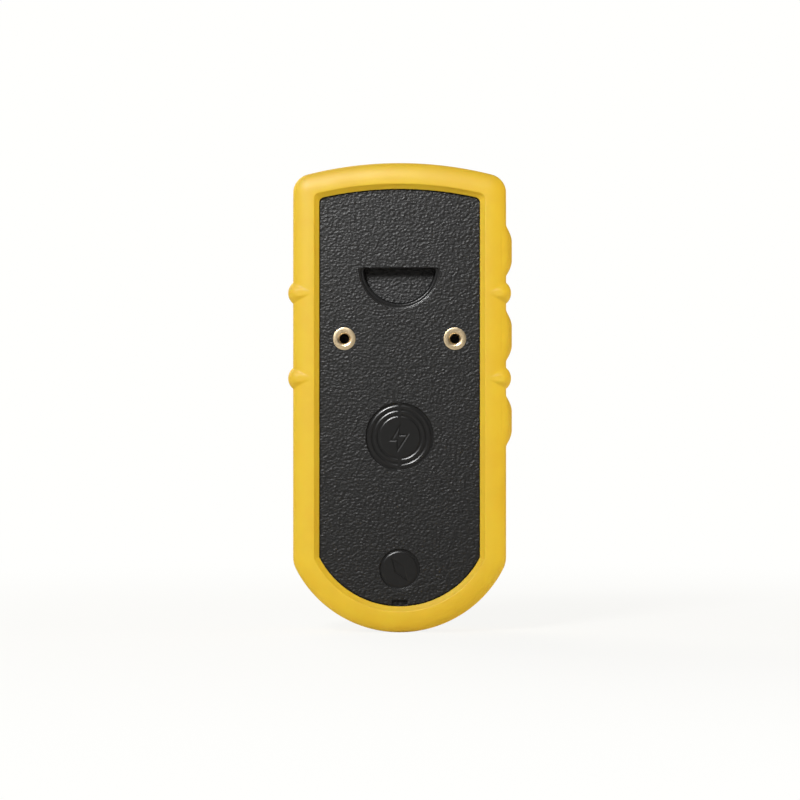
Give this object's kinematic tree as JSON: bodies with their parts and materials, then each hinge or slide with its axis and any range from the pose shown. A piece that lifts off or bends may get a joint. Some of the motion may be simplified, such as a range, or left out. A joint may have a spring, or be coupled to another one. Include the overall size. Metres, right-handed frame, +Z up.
{
  "type": "handheld satellite navigator",
  "caption": "Slim handheld satellite navigator in a soft bumper sleeve, with a grained back cover, side keys, clip inserts and a flap over its socket.",
  "frame": {"origin": "under the middle of the object, at the level of its lowest point as it stands upright", "axes": "+Z up along the length, -Y out of the back cover, +Y out of the screen, +X towards the side keys"},
  "size_m": [0.0674, 0.022, 0.141],
  "materials": {
    "sleeve_silicone": "satin silicone rubber",
    "cover_grain": "leather-grain moulded, satin",
    "housing_plastic": "fine moulded texture",
    "key_plastic": "satin",
    "insert_brass": "turned, bright",
    "seal_rubber": "matte",
    "coil_copper": "enamelled copper winding",
    "ferrite": "matte",
    "battery_wrap": "satin film",
    "flex_film": "polyimide film",
    "plated_steel": "nickel plated",
    "board_laminate": "solder mask",
    "antenna_ceramic": "fired ceramic with silvered patch",
    "connector_plastic": "moulded",
    "display_stack": "dark panel",
    "lens_glass": "polished cover glass"
  },
  "bodies": {
    "casing": {"sleeve": "sleeve_silicone", "back_cover": "cover_grain", "clip_inserts": "insert_brass", "cover_seal": "seal_rubber", "charging_coil": "coil_copper", "ferrite_sheet": "ferrite", "battery_pack": "battery_wrap", "battery_lead": "flex_film", "rear_housing": "housing_plastic", "housing_seal": "seal_rubber", "front_housing": "housing_plastic", "housing_screws": "plated_steel", "main_board": "board_laminate", "shield_cans": "plated_steel", "gps_antenna": "antenna_ceramic", "radio_antenna": "antenna_ceramic", "vibration_motor": "plated_steel", "battery_connector": "connector_plastic", "usb_socket": "plated_steel", "speaker": "connector_plastic", "speaker_mesh": "plated_steel", "display_panel": "display_stack", "display_flex": "flex_film", "touch_glass": "lens_glass", "lens_seal": "seal_rubber", "side_switch_board": "board_laminate", "tactile_switches": "connector_plastic", "key_flex": "flex_film"},
    "key_upper": {"side_key_upper": "key_plastic", "sleeve_pad_upper": "sleeve_silicone"},
    "key_middle": {"side_key_middle": "key_plastic", "sleeve_pad_middle": "sleeve_silicone"},
    "key_lower": {"side_key_lower": "key_plastic", "sleeve_pad_lower": "sleeve_silicone"},
    "flap": {"port_flap": "sleeve_silicone"}
  },
  "joints": [
    {"name": "key_upper_press", "type": "slide", "parent": "casing", "child": "key_upper", "axis": [-1, 0, 0], "range_m": [0, 0.0006], "stiffness_N_per_m": 1500},
    {"name": "key_middle_press", "type": "slide", "parent": "casing", "child": "key_middle", "axis": [-1, 0, 0], "range_m": [0, 0.0006], "stiffness_N_per_m": 1500},
    {"name": "key_lower_press", "type": "slide", "parent": "casing", "child": "key_lower", "axis": [-1, 0, 0], "range_m": [0, 0.0006], "stiffness_N_per_m": 1500},
    {"name": "flap_hinge", "type": "hinge", "parent": "casing", "child": "flap", "pos_m": [-0.032, 0.0063, 0.062], "axis": [0, 0, -1], "range_deg": [0, 110]}
  ]
}
